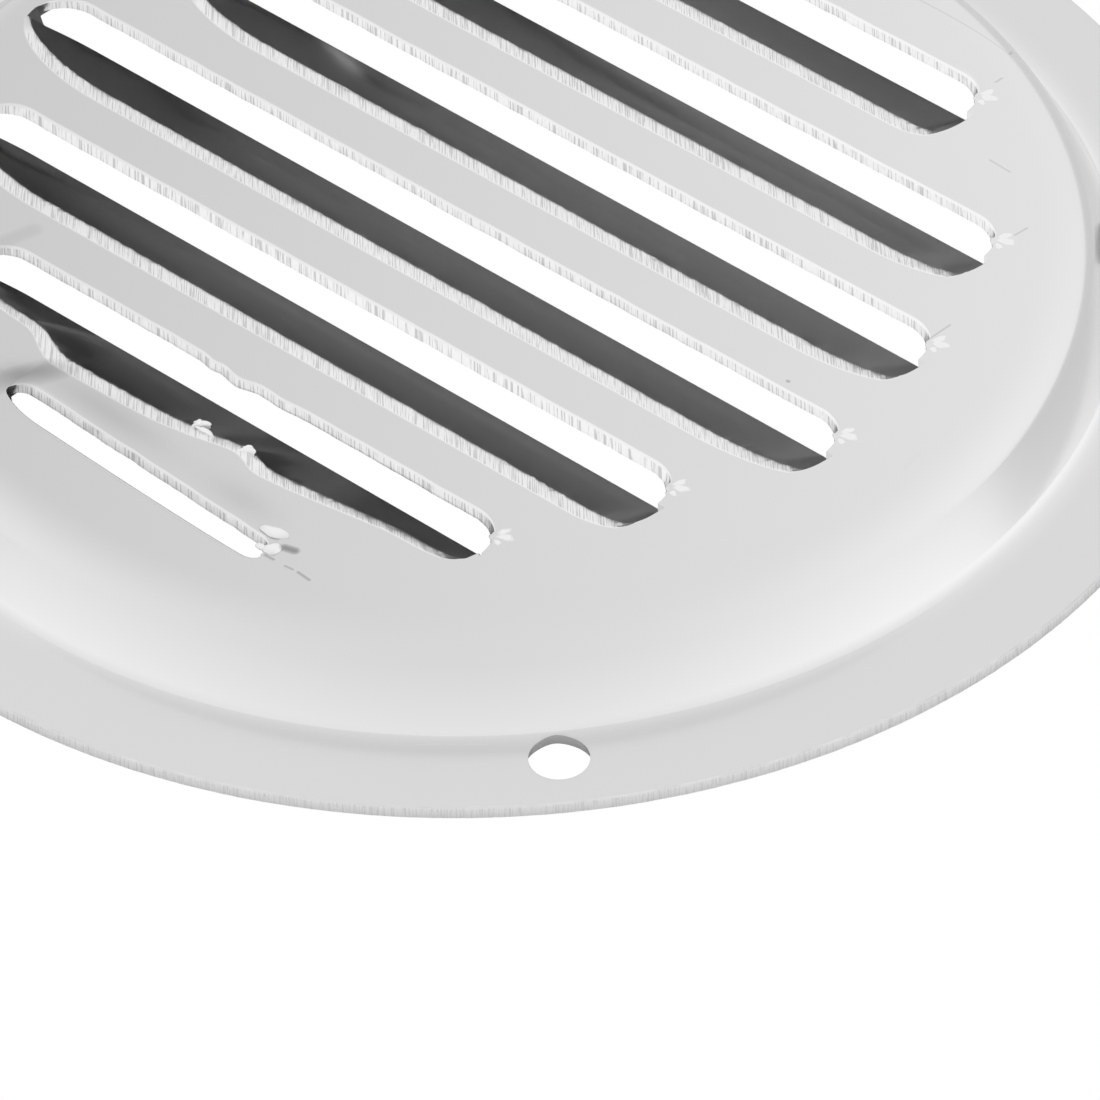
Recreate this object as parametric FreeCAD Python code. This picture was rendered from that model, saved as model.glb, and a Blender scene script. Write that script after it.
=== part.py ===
import FreeCAD, Part
import math
import os

# Round louvred vent cover, pressed from one sheet of stainless steel.
# Millimetres. Origin at the centre of the flange's back face, +Z towards the room,
# +X along the slots, +Y towards the open side of every hood.

# Sheet and flange
sheet = 1.0
outer_radius = 51.0
flange_width = 6.5

# Raised dish
dish_height = 6.0
wall_angle = 62.0
foot_bend = 0.8
crown_bend = 4.0

# Screw holes in the flange
hole_count = 4
hole_radius = 2.0
hole_first_angle = -42.0
hole_share = 0.366

# Louvres: seven parallel cuts, spread evenly over the flat plateau
slot_count = 7
edge_land = 5.7
hood_share = 0.617
last_hood_share = 0.25
depth_share = 0.638
lip_pull = 0.1
hood_bend_share = 0.52
bend_stop = 8.0
slot_corner = 2.9
# Share of the plateau's radius that each cut reaches to the left and to the right
reach_left = [0.475, 0.74, 0.84, 0.95, 0.83, 0.58, 0.32]
reach_right = [0.485, 0.755, 0.84, 0.87, 0.735, 0.587, 0.303]

# Sizes that follow from the ones above
inner_radius = outer_radius - flange_width
wall = math.radians(wall_angle)
bend_sum = foot_bend + crown_bend
wall_length = max(0.2, (dish_height - bend_sum * (1.0 - math.cos(wall))) / math.sin(wall))
plateau_z = sheet + bend_sum * (1.0 - math.cos(wall)) + wall_length * math.sin(wall)
wall_run = bend_sum * math.sin(wall) + wall_length * math.cos(wall)
plateau_radius = inner_radius - wall_run
hole_circle = inner_radius + hole_share * flange_width
slot_pitch = 2.0 * (plateau_radius - edge_land) / (slot_count - 1)
lip_depth = depth_share * (plateau_z - sheet)
lip_clearance = 0.1 * plateau_z


def vector(r, z):
    """Point of the section plane: r across, z up."""
    return FreeCAD.Vector(r, 0.0, z)


def bend_arc(centre_r, centre_z, radius, start, end):
    """Arc about a centre, between two angles in radians."""
    points = []
    for angle in (start, 0.5 * (start + end), end):
        points.append(vector(centre_r + radius * math.cos(angle), centre_z + radius * math.sin(angle)))
    return Part.Arc(*points).toShape(), points


def dished_sheet():
    """One constant-thickness section turned about the axis: flange, foot bend, wall, crown, plateau."""
    foot_z = sheet + foot_bend
    crown_z = plateau_z - crown_bend
    down = -0.5 * math.pi
    up = 0.5 * math.pi
    front_foot, ff = bend_arc(inner_radius, foot_z, foot_bend, down, down - wall)
    front_crown, fc = bend_arc(plateau_radius, crown_z, crown_bend, up - wall, up)
    back_foot, bf = bend_arc(inner_radius, foot_z, foot_bend + sheet, down, down - wall)
    back_crown, bc = bend_arc(plateau_radius, crown_z, crown_bend - sheet, up - wall, up)
    edges = [Part.makeLine(vector(outer_radius, 0.0), vector(outer_radius, sheet))]
    edges.append(Part.makeLine(vector(outer_radius, sheet), ff[0]))
    edges.append(front_foot)
    edges.append(Part.makeLine(ff[2], fc[0]))
    edges.append(front_crown)
    edges.append(Part.makeLine(fc[2], vector(0.0, plateau_z)))
    edges.append(Part.makeLine(vector(0.0, plateau_z), vector(0.0, plateau_z - sheet)))
    edges.append(Part.makeLine(vector(0.0, plateau_z - sheet), bc[2]))
    edges.append(back_crown)
    edges.append(Part.makeLine(bc[0], bf[2]))
    edges.append(back_foot)
    edges.append(Part.makeLine(bf[0], vector(outer_radius, 0.0)))
    face = Part.Face(Part.Wire(Part.__sortEdges__(edges)))
    return face.revolve(FreeCAD.Vector(0, 0, 0), FreeCAD.Vector(0, 0, 1), 360)


def local(y, z):
    """Point of a hood's section: y from the cut line (negative under the hood), z from the plateau."""
    return FreeCAD.Vector(0.0, y, plateau_z + z)


def arc_point(centre_y, bend, radius, angle):
    """Point at a radius about the centre of a hood's bend, angle counted from straight up."""
    return local(centre_y + radius * math.sin(angle), -bend + radius * math.cos(angle))


def slope_start(width, depth, offset):
    """Slope angle of a hood, the bend's centre, and where the straight slope starts on that bend."""
    slope = math.atan2(depth, width - lip_pull)
    bend = hood_bend_share * width
    centre_y = -width - bend * math.tan(0.5 * slope)
    return slope, centre_y, arc_point(centre_y, bend, bend - offset, slope)


def along_slope(first, slope, y):
    """Point of the straight slope at a distance y from the cut line."""
    return FreeCAD.Vector(0.0, y, first.z - math.tan(slope) * (y - first.y))


def closed_face(edges):
    """Face inside a closed run of edges."""
    return Part.Face(Part.Wire(Part.__sortEdges__(edges)))


def opening_section(width, depth):
    """Section of the space over a hood's front: cut line, slope, rounded bend, and up through the sheet."""
    slope, centre_y, first = slope_start(width, depth, 0.0)
    bend = hood_bend_share * width
    stop = math.radians(bend_stop)
    middle = arc_point(centre_y, bend, bend, 0.5 * (slope + stop))
    last = arc_point(centre_y, bend, bend, stop)
    rise = 0.05 + bend * (1.0 - math.cos(stop))
    over = FreeCAD.Vector(0.0, last.y - rise / math.tan(stop), last.z + rise)
    low = along_slope(first, slope, 0.0)
    high = local(0.0, 2.0 * sheet)
    far = local(over.y, 2.0 * sheet)
    edges = [Part.makeLine(high, low), Part.makeLine(low, first)]
    edges.append(Part.Arc(first, middle, last).toShape())
    edges.append(Part.makeLine(last, over))
    edges.append(Part.makeLine(over, far))
    edges.append(Part.makeLine(far, high))
    return closed_face(edges), -over.y


def hood_section(width, depth):
    """Section of the metal over a hood's back: lip, slope, and half way up into the sheet."""
    slope, centre_y, first = slope_start(width, depth, sheet)
    top = -0.5 * sheet
    low = along_slope(first, slope, -lip_pull)
    meet = local(first.y - (plateau_z + top - first.z) / math.tan(slope), top)
    high = local(-lip_pull, top)
    return closed_face([Part.makeLine(high, low), Part.makeLine(low, meet), Part.makeLine(meet, high)])


def long_body(section, left, right):
    """The section drawn along the slot from left to right."""
    start = section.copy()
    start.translate(FreeCAD.Vector(left, 0, 0))
    return start.extrude(FreeCAD.Vector(right - left, 0, 0))


def rounded_plan(left, right, near, far, radius):
    """Upright block over a slot's plan: a long rectangle with rounded corners."""
    turns = ((right - radius, far - radius, 0.0), (left + radius, far - radius, 90.0),
             (left + radius, near + radius, 180.0), (right - radius, near + radius, 270.0))
    base = lip_clearance
    arcs = []
    for x, y, start in turns:
        points = []
        for angle in (start, start + 45.0, start + 90.0):
            turn = math.radians(angle)
            points.append(FreeCAD.Vector(x + radius * math.cos(turn), y + radius * math.sin(turn), base))
        arcs.append(points)
    edges = []
    for index, points in enumerate(arcs):
        edges.append(Part.Arc(*points).toShape())
        edges.append(Part.makeLine(points[2], arcs[(index + 1) % 4][0]))
    return closed_face(edges).extrude(FreeCAD.Vector(0, 0, plateau_z + 2.0 * sheet - base))


def louvre(cut_y, left, right, width):
    """The opening and the hood of one louvre."""
    section, reach = opening_section(width, lip_depth)
    radius = min(slot_corner, 0.45 * reach)
    opening = long_body(section, left, right).common(rounded_plan(left, right, -reach, 0.0, radius))
    shell = rounded_plan(left - sheet, right + sheet, -reach - sheet, sheet, radius + sheet)
    hood = long_body(hood_section(width, lip_depth), left - sheet, right + sheet).common(shell)
    hood = hood.cut(opening)
    move = FreeCAD.Vector(0, cut_y, 0)
    opening.translate(move)
    hood.translate(move)
    return opening, hood


def vent_cover():
    """The dished sheet with its louvres and screw holes."""
    body = dished_sheet()
    openings = []
    hoods = []
    for index in range(slot_count):
        cut_y = slot_pitch * (0.5 * (slot_count - 1) - index)
        share = last_hood_share if index == slot_count - 1 else hood_share
        left = -reach_left[index % len(reach_left)] * plateau_radius
        right = reach_right[index % len(reach_right)] * plateau_radius
        opening, hood = louvre(cut_y, left, right, share * slot_pitch)
        openings.append(opening)
        hoods.append(hood)
    body = body.cut(openings).fuse(hoods)
    holes = []
    for index in range(hole_count):
        angle = math.radians(hole_first_angle + 360.0 * index / hole_count)
        centre = FreeCAD.Vector(hole_circle * math.cos(angle), hole_circle * math.sin(angle), -sheet)
        holes.append(Part.makeCylinder(hole_radius, 3.0 * sheet, centre))
    return body.cut(holes).removeSplitter()


os.makedirs("parts", exist_ok=True)
cover = vent_cover()
if len(cover.Solids) == 1:
    cover = cover.Solids[0]
cover.exportStep("parts/vent_cover.step")
print("vent_cover valid", cover.isValid(), "solids", len(cover.Solids), "volume", round(cover.Volume, 1))
print("plateau radius", round(plateau_radius, 2), "plateau z", round(plateau_z, 2), "pitch", round(slot_pitch, 3))
print("lip depth", round(lip_depth, 2), "box", cover.BoundBox)
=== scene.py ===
"""Looks of a round louvred vent cover, pressed in one piece from satin stainless sheet."""

import logging
import math
from dataclasses import dataclass, replace
from enum import Enum
from typing import Any

import bpy
import numpy as np
from mathutils import Matrix


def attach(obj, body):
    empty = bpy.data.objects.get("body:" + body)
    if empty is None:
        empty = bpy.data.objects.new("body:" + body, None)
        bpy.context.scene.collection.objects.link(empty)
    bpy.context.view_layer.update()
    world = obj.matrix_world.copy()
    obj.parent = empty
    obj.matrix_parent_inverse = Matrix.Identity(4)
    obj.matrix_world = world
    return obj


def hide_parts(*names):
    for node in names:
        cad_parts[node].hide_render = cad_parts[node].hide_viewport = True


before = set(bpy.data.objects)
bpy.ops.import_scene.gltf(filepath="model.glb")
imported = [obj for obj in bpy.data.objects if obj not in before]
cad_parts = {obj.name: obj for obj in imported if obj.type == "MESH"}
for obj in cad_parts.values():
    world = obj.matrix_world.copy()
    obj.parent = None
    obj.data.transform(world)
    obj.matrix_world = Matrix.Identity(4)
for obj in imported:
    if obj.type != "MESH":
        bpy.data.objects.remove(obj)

LOG = logging.getLogger("vent_cover")
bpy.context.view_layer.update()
MM = 0.001
NOISE_KNOTS = 4096
SHARP_ANGLE = math.radians(38.0)
STROKE_SKEW = 0.9
# Painted light gradient over the plateau: its strength and the diagonal along which it brightens.
PAINTED_GRADIENT_GAIN = 0.17
PAINTED_GRADIENT_WAY = (0.743, 0.669)
HOOD_SHARE = 0.6646
NARROW_SHARE = 0.262
FIRST_SEED = 11
Array = np.ndarray
Faces = list[tuple[int, ...]]
Triple = tuple[float, float, float]


class Zone(Enum):
    """Zones of the pressed sheet that take their own finish, and one of painted light and shade, stored as
    point attributes.
    """

    DRAWN = "drawn"
    SHEARED = "sheared"
    HOOD = "hood"
    # Painted light and shade: the plateau's painted light gradient, painted shade, painted sheen on the
    # hoods and painted highlights.
    PAINTED_LIGHT = "painted_light"


@dataclass(frozen=True)
class SheetSizes:
    """Sizes of the pressed sheet in millimetres: those of the solid part, and those of its cut edges.

    The sheet is thinned to cut_edge where a slot is cut. A screw hole widens by hole_break for each
    millimetre towards the back.
    """

    sheet: float = 1.0
    outer_radius: float = 51.0
    inner_radius: float = 44.5
    dish_height: float = 6.0
    wall_angle: float = 62.0
    foot_bend: float = 0.8
    crown_bend: float = 4.0
    hole_radius: float = 2.0
    hole_circle: float = 46.879
    hole_first_angle: float = -42.0
    hole_count: int = 4
    hole_break: float = 0.26
    slot_count: int = 7
    slot_corner: float = 2.9
    edge_land: float = 5.7
    cut_edge: float = 0.68
    lip_depth: float = 3.83
    lip_pull: float = 0.1

    @property
    def wall(self) -> float:
        """Slope of the dish wall in radians."""
        return math.radians(self.wall_angle)

    @property
    def wall_length(self) -> float:
        """Straight part of the dish wall between its two bends."""
        bends = (self.foot_bend + self.crown_bend) * (1.0 - math.cos(self.wall))
        return (self.dish_height - bends) / math.sin(self.wall)

    @property
    def plateau_z(self) -> float:
        """Height of the plateau's front over the flange's back."""
        return self.sheet + self.dish_height

    @property
    def plateau_radius(self) -> float:
        """Radius of the flat plateau, where the crown bend starts."""
        bends = (self.foot_bend + self.crown_bend) * math.sin(self.wall)
        return self.inner_radius - bends - self.wall_length * math.cos(self.wall)

    @property
    def slot_pitch(self) -> float:
        """Distance between two cuts."""
        return 2.0 * (self.plateau_radius - self.edge_land) / (self.slot_count - 1)

    def half_chord(self, level: float) -> float:
        """Half width of the plateau at a distance from its middle."""
        return math.sqrt(self.plateau_radius**2 - level**2)


SIZES = SheetSizes()


def smooth_noise(x: Array, step: float, seed: int) -> Array:
    """Repeatable smooth noise of one variable, between -1 and 1.

    A value is drawn for each knot, and neighbouring knots are joined by a smoothstep.

    Args:
        x: Places at which the noise is wanted.
        step: Distance between two knots.
        seed: Seed of the draw.

    Returns:
        Noise at each place.
    """
    knots = np.random.default_rng(seed).uniform(-1.0, 1.0, NOISE_KNOTS)
    place = x / step + NOISE_KNOTS / 2
    low = np.floor(place).astype(int)
    part = ease(place - low)
    return knots[low % NOISE_KNOTS] * (1.0 - part) + knots[(low + 1) % NOISE_KNOTS] * part


def bump_of(x: Array, centre: float, width: float) -> Array:
    """Bell curve of height 1 about a centre."""
    return np.exp(-(((x - centre) / width) ** 2))


def soft_max(first: Array, second: Array, round_off: float) -> Array:
    """Larger of two values, with the corner between them rounded off."""
    gap = first - second
    return 0.5 * (first + second + np.sqrt(gap**2 + round_off**2))


def ease(x: Array) -> Array:
    """Smoothstep of x, held between 0 and 1."""
    held = np.clip(x, 0.0, 1.0)
    return held * held * (3.0 - 2.0 * held)


def painted_plateau_light(x: Array | float, y: Array | float) -> Array | float:
    """Painted light gradient on the plateau: a little brighter along one diagonal of the part."""
    return PAINTED_GRADIENT_GAIN * (PAINTED_GRADIENT_WAY[0] * x + PAINTED_GRADIENT_WAY[1] * y) / SIZES.outer_radius


def section_faces(columns: int, rows: int, wrap: bool) -> Array:
    """Quads of a closed section carried along columns.

    Args:
        columns: Number of columns.
        rows: Number of section points, the last joined to the first.
        wrap: Whether the last column joins the first.

    Returns:
        Point numbers, four to a face.
    """
    index = np.arange(columns * rows).reshape(columns, rows)
    near, far = (index, np.roll(index, -1, axis=0)) if wrap else (index[:-1], index[1:])
    quads = np.stack([near, np.roll(near, -1, axis=1), np.roll(far, -1, axis=1), far], axis=-1)
    return quads.reshape(-1, 4)


def cap_faces(column: list[int], front: int, outward: bool) -> Faces:
    """Faces that close one end of a sheet's section by joining each front point to the back point under it.

    Args:
        column: Point numbers of the end section: the front, the edge, then the back in reverse.
        front: Number of front points, the same as back points.
        outward: Whether the end faces along the columns.

    Returns:
        Faces of the cap.
    """
    back = column[::-1][:front]
    faces = [(column[i], back[i], back[i + 1], column[i + 1]) for i in range(front - 2)]
    edge = column[front - 2 : len(column) - front + 2]
    faces.append(tuple(edge[::-1]))
    return [face[::-1] if outward else face for face in faces]


def mesh_object(name: str, points: Array, faces: Faces, zones: dict[Zone, Array]) -> bpy.types.Object:
    """Object with a mesh of points that are given in millimetres.

    Args:
        name: Name of the object and its mesh.
        points: Points, with three coordinates on the last axis.
        faces: Point numbers of each face.
        zones: Finish masks with one value for each point, stored as attributes.

    Returns:
        The new object, linked to the scene.
    """
    mesh = bpy.data.meshes.new(name)
    mesh.from_pydata((points.reshape(-1, 3) * MM).tolist(), [], faces)
    for zone, values in zones.items():
        layer = mesh.attributes.new(zone.value, "FLOAT", "POINT")
        layer.data.foreach_set("value", np.ascontiguousarray(values, dtype=np.float32).reshape(-1))
    mesh.update()
    made = bpy.data.objects.new(name, mesh)
    bpy.context.scene.collection.objects.link(made)
    return made


def sheet_mesh(name: str, points: Array, zones: dict[Zone, Array], front: int = 0) -> bpy.types.Object:
    """Mesh of a closed section carried along columns, point (i, j) being section point j at column i.

    Args:
        name: Name of the piece.
        points: Array of shape (columns, section points, 3), in millimetres.
        zones: Finish masks of shape (columns, section points).
        front: Number of front points where the ends are capped, or 0 where the columns close in a ring.

    Returns:
        The new object, linked to the scene.
    """
    columns, rows = points.shape[:2]
    faces = [tuple(quad) for quad in section_faces(columns, rows, front == 0).tolist()]
    if front:
        index = np.arange(columns * rows).reshape(columns, rows).tolist()
        faces += cap_faces(index[0], front, False) + cap_faces(index[-1], front, True)
    piece = mesh_object(name, points, faces, zones)
    piece.data.shade_smooth()
    piece.data.set_sharp_from_angle(angle=SHARP_ANGLE)
    return piece


class Value:
    """A shader socket that takes part in Python arithmetic through Math nodes."""

    def __init__(self, graph: "Graph", socket: bpy.types.NodeSocket) -> None:
        """Wraps one output socket of a graph."""
        self.graph = graph
        self.socket = socket

    def _math(self, operation: str, first: Any, second: Any) -> "Value":
        """One Math node on two values."""
        node = self.graph.node("ShaderNodeMath", {"operation": operation}, {0: first, 1: second})
        return self.graph.out(node, 0)

    def __add__(self, other: Any) -> "Value":
        """Sum."""
        return self._math("ADD", self, other)

    __radd__ = __add__

    def __sub__(self, other: Any) -> "Value":
        """Difference."""
        return self._math("SUBTRACT", self, other)

    def __rsub__(self, other: Any) -> "Value":
        """Difference with the value on the right."""
        return self._math("SUBTRACT", other, self)

    def __mul__(self, other: Any) -> "Value":
        """Product."""
        return self._math("MULTIPLY", self, other)

    __rmul__ = __mul__


class Graph:
    """A node tree with one method for any node."""

    def __init__(self, tree: bpy.types.NodeTree) -> None:
        """Empties the tree and keeps it."""
        tree.nodes.clear()
        self.tree = tree

    def node(self, kind: str, settings: dict[str, Any], sockets: dict[Any, Any]) -> bpy.types.Node:
        """Adds one node.

        Args:
            kind: Type name of the node.
            settings: Properties of the node, set first.
            sockets: Values or links of its inputs, by name or number.

        Returns:
            The new node.
        """
        made = self.tree.nodes.new(kind)
        for key, value in settings.items():
            setattr(made, key, value)
        for key, value in sockets.items():
            if isinstance(value, Value):
                self.tree.links.new(value.socket, made.inputs[key])
            else:
                made.inputs[key].default_value = value
        return made

    def clamp(self, value: Value) -> Value:
        """Holds a value between 0 and 1."""
        return self.out(self.node("ShaderNodeClamp", {}, {"Value": value}), 0)

    def out(self, node: bpy.types.Node, key: Any) -> Value:
        """An output of a node, ready for arithmetic."""
        return Value(self, node.outputs[key])


@dataclass(frozen=True)
class Mark:
    """One scratch or stain, or a patch of painted shade: start, end and half width in millimetres, and how
    much it darkens the sheet.
    """

    x0: float
    y0: float
    x1: float
    y1: float
    half_width: float
    strength: float


MARKS = (
    Mark(8.6, 37.04, 16.6, 36.96, 0.10, 0.10),
    Mark(16.6, 36.96, 16.3, 37.6, 0.12, 0.16),
    Mark(29.26, 21.9, 29.43, 22.97, 0.12, 0.16),
    Mark(31.52, 10.16, 31.71, 12.02, 0.12, 0.16),
    Mark(23.06, 26.87, 24.89, 26.76, 0.11, 0.14),
    Mark(18.18, 33.53, 18.23, 34.12, 0.12, 0.16),
    Mark(27.0, 0.84, 27.1, 0.84, 0.16, 0.30),
    # Painted shade: a wide soft streak over the slat at the last slot's left-hand tip, where the sheet is
    # drawn down.
    Mark(-13.4, -33.4, -11.0, -29.0, 1.30, 0.16),
    Mark(-22.6, -22.0, -21.9, -19.9, 0.80, 0.07),
    Mark(12.4, -32.55, 13.1, -32.35, 0.42, 0.40),
    Mark(11.9, -33.88, 12.6, -33.85, 0.15, 0.24),
    Mark(13.6, -33.83, 14.2, -33.76, 0.13, 0.20),
    Mark(14.65, -33.74, 15.7, -33.82, 0.15, 0.24),
)


@dataclass(frozen=True)
class SatinSteel:
    """Bright satin stainless sheet with faint clouding, drag strokes at its bends and scored cut edges, with
    painted highlights on its bends and cut edges and the painted light and shade of the pieces.
    """

    name: str = "satin_steel"
    grey: float = 0.78
    cloud: float = 0.02
    painted_highlight: float = 0.24
    stroke_share: float = 0.51
    stroke_dark: float = 0.30
    score_share: float = 0.50
    score_dark: float = 0.34
    groove_edge: float = 9.0
    roughness: float = 0.16
    grain_rough: float = 0.03
    drawn_rough: float = 0.1
    sheared_rough: float = 0.2
    hood_smooth: float = 0.06
    grain_depth: float = 0.0000006
    groove_depth: float = 0.000012
    cloud_scale: Triple = (60.0, 60.0, 60.0)
    grain_scale: Triple = (5200.0, 5200.0, 5200.0)
    stroke_scale: Triple = (8200.0, 300.0, 300.0)
    score_scale: Triple = (7600.0, 420.0, 420.0)
    marks: tuple[Mark, ...] = MARKS

    def material(self) -> bpy.types.Material:
        """Builds the material.

        Returns:
            A metal whose grey, roughness and relief follow the sheet's zones.
        """
        made = bpy.data.materials.new(self.name)
        made.use_nodes = True
        graph = Graph(made.node_tree)
        place = graph.out(graph.node("ShaderNodeTexCoord", {}, {}), "Object")
        parts = graph.node("ShaderNodeSeparateXYZ", {}, {0: place})
        x, y, z = (graph.out(parts, key) for key in "XYZ")
        skewed = graph.node("ShaderNodeCombineXYZ", {}, {0: x + STROKE_SKEW * y, 1: y, 2: z})
        askew = graph.out(skewed, 0)
        drawn, sheared, hood, painted_light = (self._zone(graph, zone) for zone in Zone)
        cloud = self._noise(graph, place, self.cloud_scale, 3.0)
        grain = self._noise(graph, place, self.grain_scale, 2.0)
        streak = self._noise(graph, askew, self.stroke_scale, 2.0)
        scrape = self._noise(graph, askew, self.score_scale, 2.0)
        stroke = self._grooves(graph, self.stroke_share - streak, drawn)
        score = self._grooves(graph, self.score_share - scrape, sheared)
        # Painted light: the pieces' painted light and shade scale the grey, and the drawn bends and the cut
        # faces get a painted highlight.
        grey = self.grey * (1.0 + painted_light) + (cloud - 0.5) * self.cloud
        grey = graph.clamp(grey + self.painted_highlight * drawn + self.painted_highlight * sheared)
        grey = grey - self.stroke_dark * stroke - self.score_dark * score
        # Scratches and stains, and the patch of painted shade by the last slot.
        for mark in self.marks:
            grey = grey - self._mark(graph, x, y, mark)
        rough = self.roughness + (cloud - 0.5) * self.grain_rough + (grain - 0.5) * self.grain_rough
        rough = rough + drawn * self.drawn_rough + sheared * self.sheared_rough - hood * self.hood_smooth
        height = grain * self.grain_depth + (streak * drawn + scrape * sheared) * self.groove_depth
        colour = graph.node("ShaderNodeCombineColor", {}, {"Red": grey, "Green": grey, "Blue": grey})
        relief = graph.node("ShaderNodeBump", {}, {"Height": height, "Strength": 1.0, "Distance": 1.0})
        finish = {
            "Base Color": graph.out(colour, 0),
            "Metallic": 1.0,
            "Roughness": rough,
            "Normal": graph.out(relief, 0),
        }
        shader = graph.node("ShaderNodeBsdfPrincipled", {}, finish)
        graph.node("ShaderNodeOutputMaterial", {}, {"Surface": graph.out(shader, 0)})
        return made

    def _grooves(self, graph: Graph, level: Value, zone: Value) -> Value:
        """Mask of the grooves, where their level is over 0 and a zone's mask is in its top third."""
        return graph.clamp(level * self.groove_edge) * graph.clamp(zone * 3.0 - 2.0)

    def _mark(self, graph: Graph, x: Value, y: Value, mark: Mark) -> Value:
        """Soft dark mark along a straight line on the sheet.

        Args:
            graph: The material's graph.
            x: Object coordinate x in metres.
            y: Object coordinate y in metres.
            mark: The scratch or stain.

        Returns:
            Darkening, from the strength on the line to 0 at its half width.
        """
        start = np.array([mark.x0, mark.y0]) * MM
        along = np.array([mark.x1, mark.y1]) * MM - start
        length = float(np.hypot(*along))
        u, v = (along / length).tolist()
        from_x = x - float(start[0])
        from_y = y - float(start[1])
        run = graph.clamp((from_x * u + from_y * v) * (1.0 / length)) * length
        off_x = from_x - run * u
        off_y = from_y - run * v
        width = mark.half_width * MM
        return graph.clamp(1.0 - (off_x * off_x + off_y * off_y) * (1.0 / width**2)) * mark.strength

    def _zone(self, graph: Graph, zone: Zone) -> Value:
        """Mask of one zone, read from the piece's own attribute."""
        node = graph.node("ShaderNodeAttribute", {"attribute_name": zone.value}, {})
        return graph.out(node, "Fac")

    def _noise(self, graph: Graph, place: Value, stretch: Triple, detail: float) -> Value:
        """Noise over coordinates.

        Args:
            graph: The material's graph.
            place: Coordinates in metres.
            stretch: Waves to the metre along each axis.
            detail: Number of finer layers.

        Returns:
            Noise between 0 and 1.
        """
        mapped = graph.node("ShaderNodeMapping", {}, {"Vector": place, "Scale": stretch})
        sockets = {"Vector": graph.out(mapped, 0), "Scale": 1.0, "Detail": detail, "Roughness": 0.55}
        return graph.out(graph.node("ShaderNodeTexNoise", {}, sockets), 0)


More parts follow.
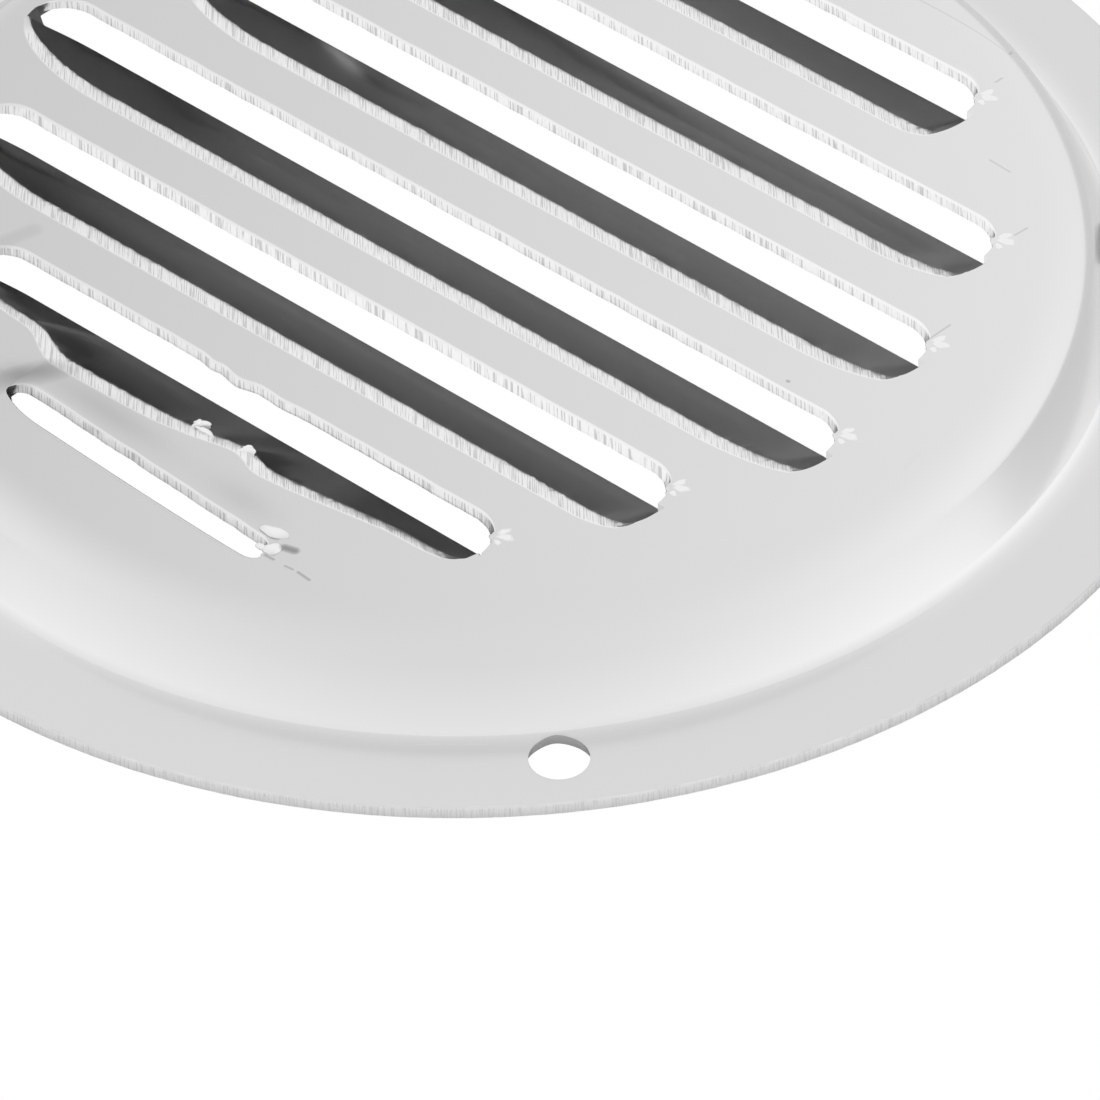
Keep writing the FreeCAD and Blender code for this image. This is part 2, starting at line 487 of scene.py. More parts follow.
@dataclass(frozen=True)
class Slot:
    """One louvre, in millimetres: a straight cut whose lower side is bent inwards as a hood.

    Dents are the centre, width and height of bulges in the edge over the slot. The bow gives places and
    shares of the hood's width where its lower edge is torn.
    """

    cut_y: float
    left: float
    right: float
    seed: int
    taper_right: float
    lean: float
    # Painted light and shade on the hood, at its left-hand and right-hand part.
    hood_painted_light: tuple[float, float]
    reach: float = HOOD_SHARE * SIZES.slot_pitch
    depth: float = SIZES.lip_depth
    edge_roll: float = 0.05
    wobble: float = 0.03
    taper_left: float = 10.0
    tilt: float = 0.0
    tilt_run: float = 3.0
    rag: float = 1.0
    blunt: float = 0.42
    tip_round: float = 1.3
    crease: float = 0.13
    knee_share: float = 0.808
    settle: float = 0.3
    corner_share: float = 0.45
    bulge: float = 0.6
    end_rise: float = 0.75
    dents: tuple[Triple, ...] = ()
    bow: tuple[tuple[float, float], ...] = ()

    @property
    def knee(self) -> float:
        """Distance from the cut line to the lower crease of the dragged band under the hood."""
        return self.knee_share * self.reach

    @property
    def shoulder(self) -> float:
        """Distance from the cut line to where the sheet is flat again."""
        return self.reach + self.settle

    @property
    def corner(self) -> float:
        """Radius of the slot's rounded ends."""
        return min(SIZES.slot_corner, self.corner_share * self.reach)

    def beyond(self, x: Array) -> Array:
        """How far x lies inside a rounded end, in its radius.

        Args:
            x: Places along the slot.

        Returns:
            0 up to the start of the rounding, 1 at the tip and more outside.
        """
        right = x - (self.right - self.corner)
        left = (self.left + self.corner) - x
        return np.maximum(np.maximum(right, left), 0.0) / self.corner

    def closing(self, x: Array) -> Array:
        """Height of the rounded end, a quarter circle from 1 along the slot to 0 at the tip."""
        return np.sqrt(np.clip(1.0 - self.beyond(x) ** 2, 0.0, 1.0))

    def base(self, x: Array) -> Array:
        """Straight line of the cut, tilted a little where the press has drawn the slot askew."""
        share = np.clip((self.right - x) / (self.right - self.left), 0.0, 1.0)
        return self.cut_y + self.tilt * share * ease((x - self.left + self.tilt_run) / self.tilt_run)

    def spread(self, x: Array) -> Array:
        """Share of the hood's full width at x.

        A quarter ellipse at the left-hand end and a blunt one with a rounded tip at the right-hand end, or a
        softened line through given places where the lower edge is torn.

        Args:
            x: Places along the slot.

        Returns:
            Share from 0 at the tips to 1.
        """
        if self.bow:
            places, shares = zip(*self.bow)
            torn = sum(np.interp(x + step, places, shares) for step in TEAR_STEPS) / len(TEAR_STEPS)
            return torn * ease((1.0 - self.beyond(x)) * 6.0)
        tip = self.right + self.bulge
        right = np.clip((x - tip) / self.taper_right + 1.0, 0.0, 1.0)
        left = np.clip((self.left - x) / self.taper_left + 1.0, 0.0, 1.0)
        blunt = self.blunt + (1.0 - self.blunt) * np.sqrt(1.0 - right**2)
        round_off = np.sqrt(1.0 - np.clip((x - tip) / self.tip_round + 1.0, 0.0, 1.0) ** 2)
        return blunt * round_off * np.sqrt(1.0 - left**2)

    def hold(self, x: Array) -> Array:
        """Share of the hood's depth at x.

        Args:
            x: Places along the slot.

        Returns:
            1 along the slot, less where the end is rounded, and 0 past the tip.
        """
        right = ease((self.right + self.bulge - x) / self.bulge)
        left = ease((x - self.left) / (0.06 * self.corner))
        return (1.0 - self.end_rise * (1.0 - self.closing(x))) * right * left

    def open_mask(self, x: Array) -> Array:
        """1 where the slot is open, falling to 0 just inside its tips."""
        return ease((1.0 - self.beyond(x)) * 8.0)

    def cut_line(self, x: Array) -> Array:
        """Edge of the sheet over the slot: straight, and down a quarter circle at both ends.

        Args:
            x: Places along the slot.

        Returns:
            The edge's y, with its small waves and dents.
        """
        wave = self.wobble * self.open_mask(x) * smooth_noise(x, 1.6, self.seed)
        for centre, width, height in self.dents:
            wave = wave + height * bump_of(x, centre, width)
        return self.base(x) - self.corner * (1.0 - self.closing(x)) - wave

    def depth_at(self, tau: Array) -> Array:
        """Depth of the hood's front under the plateau.

        The larger of two straight slopes, one from the lip to the knee and a flatter one from the knee
        to the plateau, with the creases between them a little rounded.

        Args:
            tau: Distance from the cut line.

        Returns:
            Depth at each distance.
        """
        knee_depth = self.crease * self.depth
        steep = (self.depth - knee_depth) / (self.knee - SIZES.lip_pull)
        slope = knee_depth + (self.knee - tau) * steep
        band = (self.reach - tau) * knee_depth / (self.reach - self.knee)
        depth = soft_max(soft_max(slope, band, 0.05), np.zeros_like(tau), 0.04)
        return np.maximum(depth - depth[-1], 0.0)


@dataclass(frozen=True)
class SlotPlan:
    """What differs from slot to slot: tips as shares of the plateau's radius, taper, lean, and the painted
    light and shade on the hood.
    """

    left: float
    right: float
    taper_right: float
    lean: float
    hood_painted_light: tuple[float, float]


PLANS = (
    SlotPlan(0.475, 0.485, 3.5, 0.28, (0.30, 0.30)),
    SlotPlan(0.740, 0.755, 7.0, 0.28, (0.30, 0.24)),
    SlotPlan(0.860, 0.840, 8.0, 0.28, (0.30, 0.16)),
    SlotPlan(0.988, 0.870, 8.5, 0.26, (0.30, 0.08)),
    SlotPlan(0.870, 0.735, 4.5, 0.42, (0.30, 0.08)),
    SlotPlan(0.609, 0.587, 10.0, 0.28, (0.20, -0.45)),
    SlotPlan(0.318, 0.303, 15.0, 0.26, (0.00, 0.00)),
)
DENTS = ((-3.6, 0.7, 0.22), (-1.2, 1.3, 0.42), (2.6, 1.2, 0.15))
TEAR_STEPS = (-0.7, -0.35, 0.0, 0.35, 0.7)
TORN_EDGE = (
    (-23.4, 0.06), (-20.3, 0.50), (-17.8, 0.58), (-15.0, 0.62), (-13.0, 0.90), (-11.8, 1.0), (-5.5, 0.98),
    (-2.6, 0.95), (0.6, 0.84), (2.2, 0.74), (3.7, 0.69), (4.5, 0.72), (5.2, 0.84), (6.3, 0.87),
    (8.5, 0.82), (11.0, 0.74), (13.6, 0.65), (16.4, 0.55), (19.5, 0.54), (21.6, 0.45), (22.6, 0.06),
)


def slot_table() -> list[Slot]:
    """Builds the slots from the far side to the near side.

    Returns:
        The slots. The last but one has a torn hood and a dented edge, the last is narrow and drawn askew.
    """
    made = []
    for number, plan in enumerate(PLANS):
        made.append(
            Slot(
                cut_y=SIZES.slot_pitch * (SIZES.slot_count // 2 - number),
                left=-plan.left * SIZES.plateau_radius,
                right=plan.right * SIZES.plateau_radius,
                seed=FIRST_SEED + number,
                taper_right=plan.taper_right,
                lean=plan.lean,
                hood_painted_light=plan.hood_painted_light,
            )
        )
    made[-2] = replace(made[-2], bulge=0.1, dents=DENTS, bow=TORN_EDGE)
    made[-1] = replace(
        made[-1],
        reach=NARROW_SHARE * SIZES.slot_pitch,
        edge_roll=0.12,
        taper_left=4.0,
        tilt=1.3,
        rag=0.0,
        blunt=0.7,
        crease=0.03,
        bulge=0.1,
    )
    return made


SLAT_END = (0.952, 0.966, 0.978, 0.988, 0.995, 1.0)
# Places along the slot of the hood's painted light at its two ends.
HOOD_LIGHT_PLACES = (-18.0, 6.0)
# Painted shade along the slat over the last slot: strength, centre and width of each patch.
PAINTED_SHADES = ((0.7, -5.5, 5.5), (0.5, 7.0, 3.0), (0.8, -12.6, 1.6))


@dataclass
class LouvreStrip:
    """Strip of the plateau between two cuts: the hood of the upper slot and the flat slat below it."""

    name: str
    upper: Slot | None
    lower: Slot | None
    columns: int = 600
    fine_steps: int = 40001
    hood_rows: int = 7
    crease_rows: int = 6
    band_rows: int = 3
    slat_rows: int = 7
    shear_rows: int = 6
    crease_lead: float = 0.35
    crease_run: float = 0.3
    band_fade: float = 0.25
    least_spread: float = 0.06
    rag_height: float = 0.03
    stroke_height: float = 0.022
    edge_run: float = 0.17
    edge_round: float = 0.19
    edge_glint: float = 0.62
    roll_run: float = 0.8
    set_back: float = 0.45
    lean_end: float = 0.8
    groove_height: float = 0.025
    thin_run: float = 0.5
    thin_more: float = 0.1
    most_thick: float = 1.6
    # Strength of the painted shade over the last slot.
    shade: float = 0.22

    def build(self) -> bpy.types.Object:
        """Builds the strip as one closed section carried along the slot.

        Each section runs over the front from the hood's lip through its bend and slat to the next cut,
        down the sheared face, and back under the sheet.

        Returns:
            The strip's object.
        """
        x, y, z, drawn, hood, steep = self._front(self._columns()[:, None])
        front = np.stack([x, y, self._rollover(x, y, z)], axis=-1)
        shear, shear_mask = self._shear(front[:, -1])
        points = np.concatenate([front, shear, self._back(front, steep)], axis=1)
        zones = {zone: np.zeros(points.shape[:2]) for zone in Zone}
        last = x.shape[1]
        zones[Zone.DRAWN][:, :last] = drawn
        zones[Zone.HOOD][:, :last] = hood
        # Painted light and shade: the plateau's painted light gradient, painted shade on the slat over the
        # last slot and painted light on the hood.
        zones[Zone.PAINTED_LIGHT] = painted_plateau_light(points[:, :, 0], points[:, :, 1])
        zones[Zone.PAINTED_LIGHT][:, :last] += self._painted_shade(x, y) + hood * self._hood_painted_light(x)
        # Painted glint: the rounded front edge over a cut takes part of the cut faces' painted highlight.
        if self.lower is not None:
            near = ease((self.edge_run - (y - y[:, -1:])) / 0.1)
            zones[Zone.SHEARED][:, :last] = self.edge_glint * near * self.lower.open_mask(x)
        zones[Zone.SHEARED][:, last : last + self.shear_rows] = shear_mask
        return sheet_mesh(self.name, points, zones, last)

    def _half_width(self) -> float:
        """Widest half chord of the plateau circle inside the strip.

        Returns:
            Half the strip's length in millimetres.
        """
        top = SIZES.plateau_radius if self.upper is None else self.upper.cut_y - self.upper.corner
        bottom = -SIZES.plateau_radius if self.lower is None else self.lower.cut_y - self.lower.corner
        return SIZES.half_chord(min(max(0.0, bottom), top))

    def _columns(self) -> Array:
        """Column places from -1 to 1, gathered at the rounded slot ends.

        Places are spread evenly by a density that rises at each tip, so that a rounded end is followed
        in small steps. The nearest column is moved onto each corner between a seam and the circle.

        Returns:
            Rising places, one for each column.
        """
        fine = np.linspace(-1.0, 1.0, self.fine_steps)
        density = np.ones_like(fine)
        density += 10.0 * (bump_of(fine, 1.0, 0.02) + bump_of(fine, -1.0, 0.02))
        half = self._half_width()
        slots = [slot for slot in (self.upper, self.lower) if slot is not None]
        for slot in slots:
            for tip, way in ((slot.right, 1.0), (slot.left, -1.0)):
                inside = way * (tip - fine * half) / slot.corner
                density += 3.0 * ease(1.4 - inside) * ease(inside + 1.0) + 30.0 * bump_of(inside, 0.02, 0.05)
        total = np.concatenate([[0.0], np.cumsum(0.5 * (density[1:] + density[:-1]))])
        places = np.interp(np.linspace(0.0, total[-1], self.columns), total, fine)
        for slot in slots:
            levels = [slot.cut_y - slot.corner]
            if slot is self.upper:
                levels.append(levels[0] - self.least_spread * (slot.shoulder - slot.corner))
            for level in levels:
                corner = SIZES.half_chord(level) / half
                for place in (corner, -corner):
                    places[np.argmin(np.abs(places - place))] = np.clip(place, -1.0, 1.0)
        return np.sort(places)

    def _front(self, across: Array) -> tuple[Array, Array, Array, Array, Array, Array]:
        """Front of the strip.

        Rows first follow the hood from lip to bend by its own distance tau, then share the slat between
        the bend and the next cut. A column keeps its x, and ends on the plateau's circle where the strip
        does.

        Args:
            across: Column places from -1 to 1.

        Returns:
            Arrays x, y, z, the drawn mask, the hood mask and the steepness, each columns by rows.
        """
        slat = np.concatenate([np.linspace(0.0, 0.93, self.slat_rows) ** 0.85, SLAT_END])
        column = across * self._half_width()
        circle = np.sqrt(np.maximum(SIZES.plateau_radius**2 - column**2, 0.0))
        end_y = -circle if self.lower is None else np.maximum(self._edge(column), -circle)
        slot = self.upper
        if slot is None:
            x = column + 0.0 * slat
            y = circle + slat * (end_y - circle)
            flat = np.zeros_like(x)
            return x, y, SIZES.plateau_z + self._relief(x, y), flat, flat, flat
        tau = self._tau(slot)
        head = column + 0.0 * tau
        foot = column + 0.0 * slat[1:]
        flat = np.zeros_like(foot)
        x = np.concatenate([head, foot], axis=1)
        spread = np.maximum(slot.spread(head), self.least_spread)
        wide = ease((spread - 0.3) / 0.3)
        lip = slot.corner + (tau[0] - slot.corner) * slot.closing(head)
        bend = slot.corner + (slot.shoulder - slot.corner) * spread
        away = lip + (tau - tau[0]) / (slot.shoulder - tau[0]) * (bend - lip)
        start_y = np.clip(slot.base(column) - away[:, -1:], end_y, circle)
        hood_y = slot.base(head) - away + self._ragged(slot, head, tau) * wide
        y = np.concatenate([hood_y, start_y + slat[1:] * (end_y - start_y)], axis=1)
        y = np.clip(y, -circle, circle)
        hold = slot.hold(head)
        band = ease((tau - slot.knee + 0.3) / self.band_fade)
        band = band * ease((slot.reach + 0.15 - tau) / self.band_fade)
        near = band[None, :] * wide
        strokes = self.stroke_height * slot.rag * self._strokes(slot, head, tau) * near
        depth = hold * slot.depth_at(tau)[None, :] - strokes
        z = SIZES.plateau_z - np.concatenate([depth, flat], axis=1) + self._relief(x, y)
        drawn = np.concatenate([slot.rag * near, flat], axis=1)
        hood = np.concatenate([hold * ease((slot.knee - 0.1 - tau) / 0.2)[None, :], flat], axis=1)
        steep = np.concatenate([hold * np.gradient(-slot.depth_at(tau), tau)[None, :], flat], axis=1)
        return x, y, z, drawn, hood, steep

    def _ragged(self, slot: Slot, x: Array, tau: Array) -> Array:
        """Shift in y of the bend's lower edge, by waves along the slot that are strongest at the knee."""
        waves = smooth_noise(x, 0.3, slot.seed + 20) + smooth_noise(x, 0.9, slot.seed + 30)
        return self.rag_height * slot.rag * waves * bump_of(tau, slot.knee, 0.4)[None, :]

    def _strokes(self, slot: Slot, x: Array, tau: Array) -> Array:
        """Waves of the drag strokes over the bend, which run askew to the slot."""
        skew = x - STROKE_SKEW * (tau[None, :] - slot.knee)
        return smooth_noise(skew, 0.3, slot.seed + 40) + 0.6 * smooth_noise(skew, 0.8, slot.seed + 60)

    def _edge(self, x: Array) -> Array:
        """Front edge over the next cut, set back a little where the sheared face leans outwards."""
        return self.lower.cut_line(x) + self.set_back * self.lower.lean * self.lower.open_mask(x)

    def _tau(self, slot: Slot) -> Array:
        """Row places along the hood: even on the slope, closer together at the knee and the shoulder.

        Args:
            slot: The strip's upper slot.

        Returns:
            Rising distances from the cut line.
        """
        before = slot.knee - self.crease_lead
        after = slot.knee + self.crease_run
        end = slot.reach - self.crease_run
        slope = np.linspace(SIZES.lip_pull, before, self.hood_rows)
        low = np.linspace(before, after, self.crease_rows + 1)[1:]
        band = np.linspace(after, end, self.band_rows + 1)[1:]
        high = np.linspace(end, slot.shoulder, self.crease_rows + 1)[1:]
        return np.concatenate([slope, low, band, high])

    def _relief(self, x: Array, y: Array) -> Array:
        """Small relief of the plateau: the edge over a cut is drawn down a little.

        Args:
            x: Places along the slot.
            y: Places across it.

        Returns:
            Height over the flat plateau.
        """
        if self.lower is None:
            return np.zeros_like(x)
        edge = np.maximum(y - self.lower.cut_line(x), 0.0)
        return -self.lower.edge_roll * self.lower.open_mask(x) * np.exp(-edge / self.roll_run)

    def _hood_painted_light(self, x: Array) -> Array:
        """Painted light and shade on the upper slot's hood, even from its left-hand part to its right-hand
        part.
        """
        return np.zeros_like(x) if self.upper is None else np.interp(x, HOOD_LIGHT_PLACES, self.upper.hood_painted_light)

    def _painted_shade(self, x: Array, y: Array) -> Array:
        """Painted shade on the slat where it is drawn down towards the narrow last slot.

        Args:
            x: Places along the slot.
            y: Places across it.

        Returns:
            Darkening by painted shade, 0 on all other strips.
        """
        if self.lower is None or self.lower.rag > 0.0:
            return np.zeros_like(x)
        edge = y - self.lower.cut_line(x)
        along = sum(strength * bump_of(x, centre, width) for strength, centre, width in PAINTED_SHADES)
        return -self.shade * along * bump_of(edge, 1.7, 1.1)

    def _rollover(self, x: Array, y: Array, z: Array) -> Array:
        """Rounds the front edge over the next cut by lowering the last rows on a small quarter circle.

        Args:
            x: Places along the slot.
            y: Places across it.
            z: Heights before the rounding.

        Returns:
            Heights after it.
        """
        if self.lower is None:
            return z
        edge = np.clip(self.edge_run - (y - y[:, -1:]), 0.0, self.edge_run)
        drop = self.edge_round - np.sqrt(np.maximum(self.edge_round**2 - edge**2, 0.0))
        return z - drop * self.lower.open_mask(x)

    def _shear(self, edge: Array) -> tuple[Array, Array]:
        """Sheared face under the front edge.

        It goes down from the rounded edge, leaning outwards as the press has drawn it, with fine upright
        grooves.

        Args:
            edge: Front edge points, columns by 3.

        Returns:
            Points of the face and its finish mask.
        """
        down = np.linspace(0.0, 1.0, self.shear_rows + 2)[1:-1]
        points = np.repeat(edge[:, None, :], down.size, axis=1)
        slot = self.lower
        if slot is None:
            points[:, :, 2] -= down * SIZES.sheet
            return points, np.zeros(points.shape[:2])
        x = edge[:, 0]
        mask = slot.open_mask(x)[:, None]
        base = SIZES.plateau_z - SIZES.sheet + (SIZES.sheet - SIZES.cut_edge - slot.edge_roll) * mask
        points[:, :, 2] += down * (base - edge[:, 2:3])
        waves = smooth_noise(x, 0.2, slot.seed + 80) + 0.5 * smooth_noise(x, 0.5, slot.seed)
        groove = self.groove_height * waves[:, None] * np.sin(math.pi * down * 0.9)
        points[:, :, 1] += mask * (groove - slot.lean * np.minimum(down, self.lean_end) / self.lean_end)
        return points, mask * np.ones(points.shape[:2])

    def _back(self, front: Array, steep: Array) -> Array:
        """Back of the strip: the front lowered by the sheet, less at a cut edge, in reverse order.

        Args:
            front: Front points, columns by rows by 3.
            steep: Slope of the front at each of them.

        Returns:
            Back points, in the same shape.
        """
        thick = SIZES.sheet * np.minimum(np.sqrt(1.0 + steep**2), self.most_thick)
        if self.lower is not None:
            edge = front[:, :, 1] - front[:, -1:, 1]
            near = np.exp(-edge / self.thin_run) * self.lower.open_mask(front[:, :, 0])
            thick = thick - (SIZES.sheet - SIZES.cut_edge + self.thin_more) * near
        back = front.copy()
        back[:, :, 2] = front[:, :, 2] - thick
        return back[:, ::-1]


@dataclass(frozen=True)
class Lobe:
    """One swelling of the stretched sheet: centre, heading in degrees and half axes, in millimetres.

    The sink is how far its centre lies under the sheet's front.
    """

    x: float
    y: float
    heading: float
    length: float
    width: float
    height: float
    z: float = SIZES.plateau_z
    rough: float = 1.0
    sink: float = 0.0


TIP_SINK = 0.16
TIP_Z = SIZES.plateau_z - TIP_SINK
TIP_PRONGS = (
    Lobe(-0.20, -0.45, 70.0, 1.00, 0.52, 0.19, TIP_Z, 1.0, TIP_SINK),
    Lobe(0.23, -0.80, 20.0, 1.10, 0.60, 0.20, TIP_Z, 1.0, TIP_SINK),
    Lobe(0.13, -1.50, -20.0, 0.60, 0.42, 0.19, TIP_Z, 1.0, TIP_SINK),
)
LAST_SLOT_LUMPS = (
    Lobe(10.9, -31.85, 12.0, 1.10, 0.50, 0.16),
    Lobe(11.9, -33.15, 60.0, 0.66, 0.54, 0.24),
    Lobe(11.2, -33.45, 0.0, 0.50, 0.26, 0.12),
)
TORN_FLAKES = (
    Lobe(-0.3, -26.8, 40.0, 0.60, 0.34, 0.40, 6.45, 3.5),
    Lobe(0.5, -27.2, 0.0, 0.80, 0.22, 0.22, 6.6, 3.0),
    Lobe(3.8, -26.85, 55.0, 0.70, 0.42, 0.45, 6.45, 3.5),
)


@dataclass
class StretchLobes:
    """Small swellings where the press has stretched the sheet at the slot tips and torn its edge, each with
    a painted highlight on its top.
    """

    slots: list[Slot]
    name: str = "stretch_lobes"
    around: int = 28
    rings: int = 14
    glint: float = 0.34

    def lobes(self) -> list[Lobe]:
        """Gathers the swellings.

        Returns:
            Three prongs at each right-hand tip but the last, lumps at the last slot and flakes on the torn
            hood.
        """
        made = []
        for slot in self.slots[:-1]:
            made += [replace(prong, x=slot.right + prong.x, y=slot.cut_y + prong.y) for prong in TIP_PRONGS]
        return [*made, *LAST_SLOT_LUMPS, *TORN_FLAKES]

    def build(self) -> bpy.types.Object:
        """Builds all lobes as one mesh of closed ellipsoids.

        Returns:
            The lobes' object.
        """
        points, faces, painted_lights = [], [], []
        for number, lobe in enumerate(self.lobes()):
            body = self._points(lobe, number)
            lift = (body[:, 2] - lobe.z - lobe.sink) / (lobe.height - lobe.sink)
            # Painted highlight: brighter towards the top of each lobe, on the plateau's painted light
            # gradient.
            painted_lights.append(painted_plateau_light(lobe.x, lobe.y) + self.glint * np.clip(lift, 0.0, 1.0))
            faces += self._faces(number * len(body))
            points.append(body)
        zones = {Zone.PAINTED_LIGHT: np.concatenate(painted_lights)}
        piece = mesh_object(self.name, np.concatenate(points), faces, zones)
        piece.data.shade_smooth()
        return piece

    def _points(self, lobe: Lobe, number: int) -> Array:
        """Points of one ellipsoid.

        A grid of turns about its upright axis and falls from pole to pole, stretched to its half axes,
        swelled unevenly by waves of the turn and headed in the plan.

        Args:
            lobe: The swelling.
            number: Its number, which shifts the waves.

        Returns:
            The grid's points and the two poles.
        """
        turn = np.linspace(0.0, 2.0 * math.pi, self.around, endpoint=False)[:, None]
        fall = np.linspace(0.0, math.pi, self.rings + 2)[None, 1:-1]
        wave = 0.06 * np.sin(3.0 * turn + number) + 0.04 * np.sin(5.0 * turn + 2.0 * number + 3.0 * fall)
        swell = 1.0 + lobe.rough * wave
        along = lobe.length * swell * np.cos(turn) * np.sin(fall)
        aside = lobe.width * swell * np.sin(turn) * np.sin(fall)
        up = lobe.height * np.cos(fall) * (1.0 + 0.5 * lobe.rough * wave * np.sin(fall))
        head = math.radians(lobe.heading)
        x = lobe.x + along * math.cos(head) - aside * math.sin(head)
        y = lobe.y + along * math.sin(head) + aside * math.cos(head)
        grid = np.stack([x, y, lobe.z + up], axis=-1).reshape(-1, 3)
        poles = [[lobe.x, lobe.y, lobe.z + lobe.height], [lobe.x, lobe.y, lobe.z - lobe.height]]
        return np.concatenate([grid, poles])

    def _faces(self, first: int) -> Faces:
        """Faces of one ellipsoid: quads between rings and triangles at both poles.

        Args:
            first: Number of its first point.

        Returns:
            Point numbers of each face.
        """
        index = first + np.arange(self.around * self.rings).reshape(self.around, self.rings)
        after = np.roll(index, -1, axis=0)
        quads = np.stack([index[:, :-1], index[:, 1:], after[:, 1:], after[:, :-1]], axis=-1).reshape(-1, 4)
        top = first + self.around * self.rings
        caps = [(top, a, b) for a, b in zip(index[:, 0].tolist(), after[:, 0].tolist())]
        caps += [(top + 1, b, a) for a, b in zip(index[:, -1].tolist(), after[:, -1].tolist())]
        return [tuple(quad) for quad in quads.tolist()] + caps


@dataclass
class FlangeAndDish:
    """Outer ring of the sheet: crown bend, dish wall, foot bend, flat flange and sheared rim."""

    name: str = "flange_and_dish"
    columns: int = 960
    arc_rows: int = 12
    flange_rows: int = 12
    rim_rows: int = 7
    rim_round: float = 0.07
    rim_round_share: float = 0.12
    rim_break: float = 0.06
    rim_groove: float = 0.018
    rim_score: float = 0.8
    wall_fade: float = 4.0
    # Painted highlight over the wall and at its foot.
    wall_painted_light: float = 0.03
    foot_painted_light: float = 0.12
    fold_back: float = 0.4
    hole_sides: int = 72
    hole_peak: float = 0.14
    peak_width: float = 0.36
    punch_levels: tuple[float, float] = (-1.0, 3.0)

    def build(self) -> bpy.types.Object:
        """Carries the ring's section round the axis and cuts the screw holes.

        Returns:
            The ring's object.
        """
        section, sheared = self._section()
        angle = np.linspace(0.0, 2.0 * math.pi, self.columns, endpoint=False)[:, None]
        run = angle * SIZES.outer_radius
        groove = smooth_noise(run, 0.3, 7) + 0.6 * smooth_noise(run, 1.1, 8)
        radius = section[:, 0][None, :] + self.rim_groove * groove * sheared[None, :]
        height = section[:, 1][None, :] + 0.0 * angle
        points = np.stack([radius * np.cos(angle), radius * np.sin(angle), height], axis=-1)
        zones = {zone: np.zeros(points.shape[:2]) for zone in Zone}
        zones[Zone.SHEARED] += sheared
        zones[Zone.PAINTED_LIGHT] = self._painted_light(points)
        ring = sheet_mesh(self.name, points, zones)
        self._cut_holes(ring)
        return ring

    def _painted_light(self, points: Array) -> Array:
        """Painted light of the ring: the plateau's painted light gradient carries on and fades out over the
        wall, where a painted highlight takes over.

        Args:
            points: Points of the ring, columns by rows by 3.

        Returns:
            Painted light of each point, with a painted highlight at the foot of the wall.
        """
        radius = np.hypot(points[:, :, 0], points[:, :, 1])
        fade = ease((radius - SIZES.plateau_radius) / self.wall_fade)
        foot_light = self.foot_painted_light * bump_of(radius, SIZES.inner_radius - self.fold_back, 1.0)
        return painted_plateau_light(points[:, :, 0], points[:, :, 1]) * (1.0 - fade) + self.wall_painted_light * fade + foot_light

    def _section(self) -> tuple[Array, Array]:
        """Closed section of the ring in the plane of the axis.

        The front runs from the plateau over the crown, straight down the wall, through the foot and out
        over the flange. The rim is sheared, and the back repeats the front at the sheet's thickness.

        Returns:
            Points (radius, height) and the sheared mask.
        """
        front = self._side(0.0)
        back = self._side(SIZES.sheet)[::-1]
        share = np.linspace(0.0, 1.0, self.rim_rows + 1)[1:]
        turned = np.clip(1.0 - share / self.rim_round_share, 0.0, 1.0)
        rounded = self.rim_round * (1.0 - np.sqrt(1.0 - turned**2))
        broken = self.rim_break * np.clip((share - 0.5) / 0.5, 0.0, 1.0)
        rim = np.stack([SIZES.outer_radius - rounded - broken, SIZES.sheet * (1.0 - share)], axis=-1)
        points = np.concatenate([front, rim, back])
        sheared = np.zeros(len(points))
        sheared[len(front) : len(front) + self.rim_rows] = self.rim_score
        return points, sheared

    def _side(self, offset: float) -> Array:
        """One side of the section, from the plateau outwards.

        Args:
            offset: Distance under the front.

        Returns:
            Points (radius, height).
        """
        turn = np.linspace(0.0, SIZES.wall, self.arc_rows)
        crown = SIZES.crown_bend - offset
        foot = SIZES.foot_bend + offset
        crown_r = SIZES.plateau_radius + crown * np.sin(turn)
        crown_z = SIZES.plateau_z - SIZES.crown_bend + crown * np.cos(turn)
        foot_r = SIZES.inner_radius - foot * np.sin(turn[::-1])
        foot_z = SIZES.sheet + SIZES.foot_bend - foot * np.cos(turn[::-1])
        out = np.linspace(SIZES.inner_radius, SIZES.outer_radius - self.rim_round, self.flange_rows)[1:]
        flat = np.full(out.size, SIZES.sheet - offset)
        radius = np.concatenate([crown_r, foot_r, out])
        return np.stack([radius, np.concatenate([crown_z, foot_z, flat])], axis=-1)

    def _cut_holes(self, ring: bpy.types.Object) -> None:
        """Cuts the screw holes with punches that widen downwards and whose outline peaks towards the foot.

        Args:
            ring: The ring's object, whose mesh is replaced.
        """
        turn = np.linspace(0.0, 2.0 * math.pi, self.hole_sides, endpoint=False)
        levels = np.array(self.punch_levels)
        for number in range(SIZES.hole_count):
            angle = math.radians(SIZES.hole_first_angle + 360.0 * number / SIZES.hole_count)
            inward = np.angle(np.exp(1j * (turn - angle - math.pi)))
            radius = (SIZES.hole_radius + self.hole_peak * bump_of(inward, 0.0, self.peak_width))[:, None]
            radius = radius + SIZES.hole_break * (SIZES.sheet - levels)
            x = SIZES.hole_circle * math.cos(angle) + radius * np.cos(turn)[:, None]
            y = SIZES.hole_circle * math.sin(angle) + radius * np.sin(turn)[:, None]
            punch = self._punch(np.stack([x, y, 0.0 * x + levels], axis=-1))
            cut = ring.modifiers.new("hole", "BOOLEAN")
            cut.operation = "DIFFERENCE"
            cut.solver = "EXACT"
            cut.object = punch
            view = bpy.context.evaluated_depsgraph_get()
            mesh = bpy.data.meshes.new_from_object(ring.evaluated_get(view))
            ring.modifiers.clear()
            ring.data = mesh
            bpy.data.objects.remove(punch)

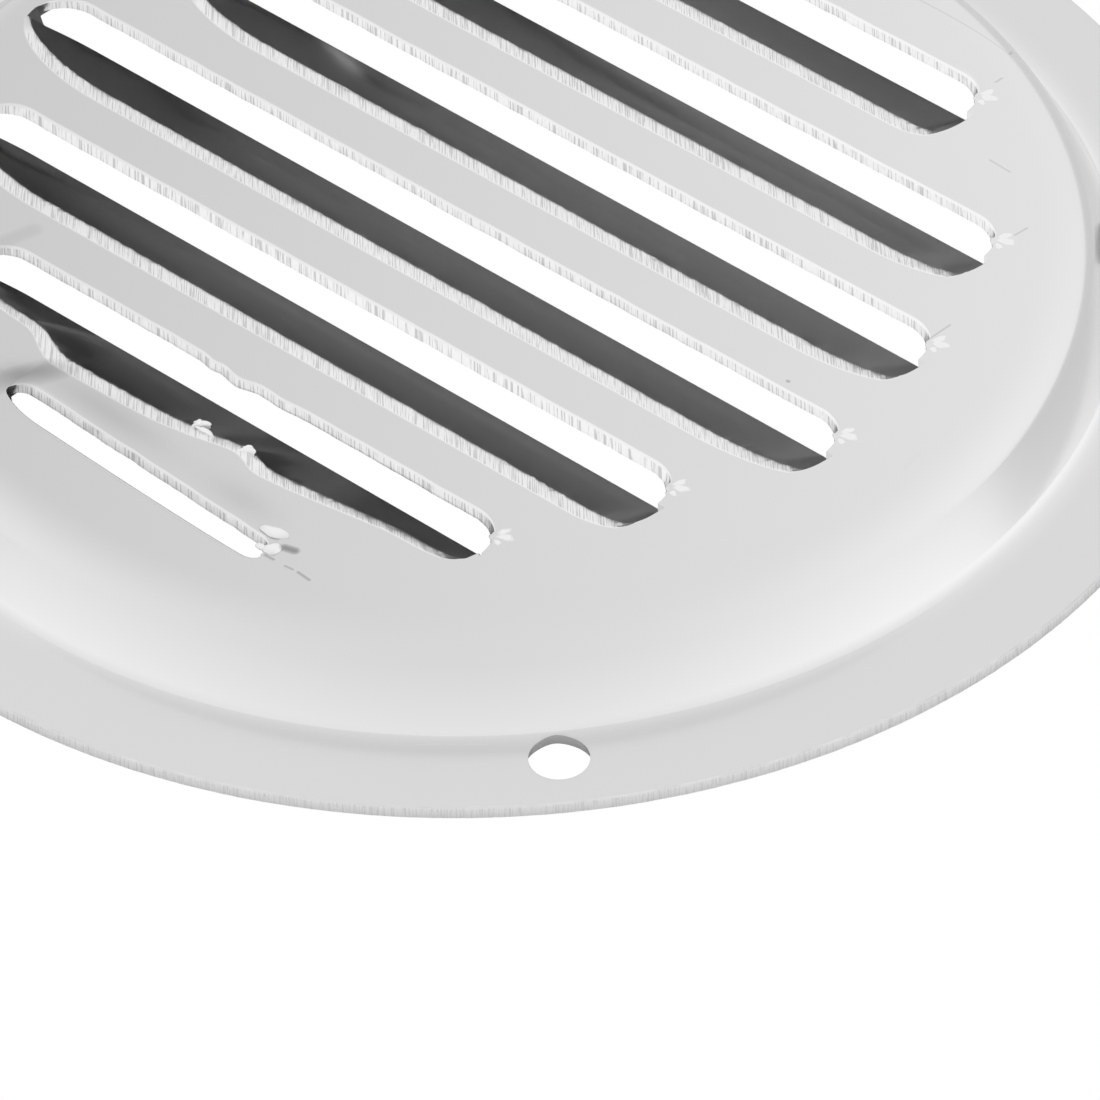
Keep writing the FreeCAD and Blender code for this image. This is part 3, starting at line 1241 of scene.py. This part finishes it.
    def _punch(self, points: Array) -> bpy.types.Object:
        """Closed punch over an outline given at its two levels.

        Args:
            points: Outline points, count by 2 levels by 3.

        Returns:
            The punch's object.
        """
        count = points.shape[0]
        index = np.arange(count * 2).reshape(count, 2)
        after = np.roll(index, -1, axis=0)
        sides = np.stack([index[:, 0], after[:, 0], after[:, 1], index[:, 1]], axis=-1).tolist()
        ends = [index[::-1, 0].tolist(), index[:, 1].tolist()]
        return mesh_object("punch", points, [tuple(face) for face in sides + ends], {})


@dataclass
class Studio:
    """Camera at the photograph's angle, white floor and soft room light."""

    azimuth: float = 42.0
    elevation: float = 42.49
    roll: float = -1.50
    target: Triple = (21.41, -16.82, 1.0)
    distance: float = 647.7
    lens: float = 322.4
    sensor: float = 36.0
    clip: tuple[float, float] = (0.01, 50.0)
    floor_half: float = 3000.0
    floor_drop: float = 0.3
    floor_grey: float = 0.8
    room: float = 0.86
    sides: float = 0.14
    lean: float = 0.03

    def build(self) -> None:
        """Sets the view transform, camera, floor and world."""
        bpy.context.scene.view_settings.view_transform = "Standard"
        self._camera()
        self._floor()
        self._world()

    def _axes(self) -> tuple[Array, Array, Array]:
        """Directions of the camera.

        Returns:
            Its right, up and back directions.
        """
        a, e, r = (math.radians(angle) for angle in (self.azimuth, self.elevation, self.roll))
        back = np.array([math.sin(a) * math.cos(e), -math.cos(a) * math.cos(e), math.sin(e)])
        right = np.array([math.cos(a), math.sin(a), 0.0])
        up = np.cross(back, right)
        return math.cos(r) * right + math.sin(r) * up, math.cos(r) * up - math.sin(r) * right, back

    def _camera(self) -> None:
        """Places the camera from its angles, distance and target."""
        right, up, back = self._axes()
        place = (np.array(self.target) + self.distance * back) * MM
        data = bpy.data.cameras.new("camera")
        data.sensor_width = self.sensor
        data.lens = self.lens
        data.clip_start, data.clip_end = self.clip
        camera = bpy.data.objects.new("camera", data)
        rows = [[right[i], up[i], back[i], place[i]] for i in range(3)]
        camera.matrix_world = Matrix([*rows, [0.0, 0.0, 0.0, 1.0]])
        bpy.context.scene.collection.objects.link(camera)
        bpy.context.scene.camera = camera

    def _floor(self) -> None:
        """White floor under the flange, white to the camera and a plain pale grey to other rays."""
        corners = np.array([(-1.0, -1.0), (1.0, -1.0), (1.0, 1.0), (-1.0, 1.0)]) * self.floor_half
        points = np.column_stack([corners, np.full(len(corners), -self.floor_drop)])
        floor = mesh_object("floor", points, [(0, 1, 2, 3)], {})
        made = bpy.data.materials.new("white_floor")
        made.use_nodes = True
        graph = Graph(made.node_tree)
        path = graph.node("ShaderNodeLightPath", {}, {})
        pale = graph.node("ShaderNodeBsdfDiffuse", {}, {"Color": (*[self.floor_grey] * 3, 1.0)})
        white = graph.node("ShaderNodeEmission", {}, {"Color": (1.0, 1.0, 1.0, 1.0), "Strength": 1.0})
        mixed = graph.node(
            "ShaderNodeMixShader",
            {},
            {0: graph.out(path, "Is Camera Ray"), 1: graph.out(pale, 0), 2: graph.out(white, 0)},
        )
        graph.node("ShaderNodeOutputMaterial", {}, {"Surface": graph.out(mixed, 0)})
        floor.data.materials.append(made)

    def _world(self) -> None:
        """Soft pale room, brighter to both sides."""
        right = self._axes()[0]
        world = bpy.data.worlds.new("room")
        bpy.context.scene.world = world
        world.use_nodes = True
        graph = Graph(world.node_tree)
        way = graph.out(graph.node("ShaderNodeTexCoord", {}, {}), "Generated")
        dot = graph.node("ShaderNodeVectorMath", {"operation": "DOT_PRODUCT"}, {0: way, 1: tuple(right)})
        side = graph.out(dot, "Value")
        level = self.room + self.sides * side * side + self.lean * side
        shade = graph.node("ShaderNodeBackground", {}, {"Color": (1.0, 1.0, 1.0, 1.0), "Strength": level})
        graph.node("ShaderNodeOutputWorld", {}, {"Surface": graph.out(shade, 0)})


def main() -> None:
    """Builds the vent cover's looks and the studio."""
    logging.basicConfig(level=logging.INFO, format="%(message)s")
    steel = SatinSteel().material()
    slots = slot_table()
    bounds = [None, *slots, None]
    builders: list[FlangeAndDish | LouvreStrip | StretchLobes] = [FlangeAndDish()]
    for number in range(len(bounds) - 1):
        builders.append(LouvreStrip(f"louvre_strip_{number}", bounds[number], bounds[number + 1]))
    builders.append(StretchLobes(slots))
    for builder in builders:
        piece = builder.build()
        piece.data.materials.clear()
        piece.data.materials.append(steel)
        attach(piece, "root")
        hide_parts("vent_cover")
        LOG.info("%s: %d faces", piece.name, len(piece.data.polygons))
    Studio().build()


if __name__ == "__main__":
    main()
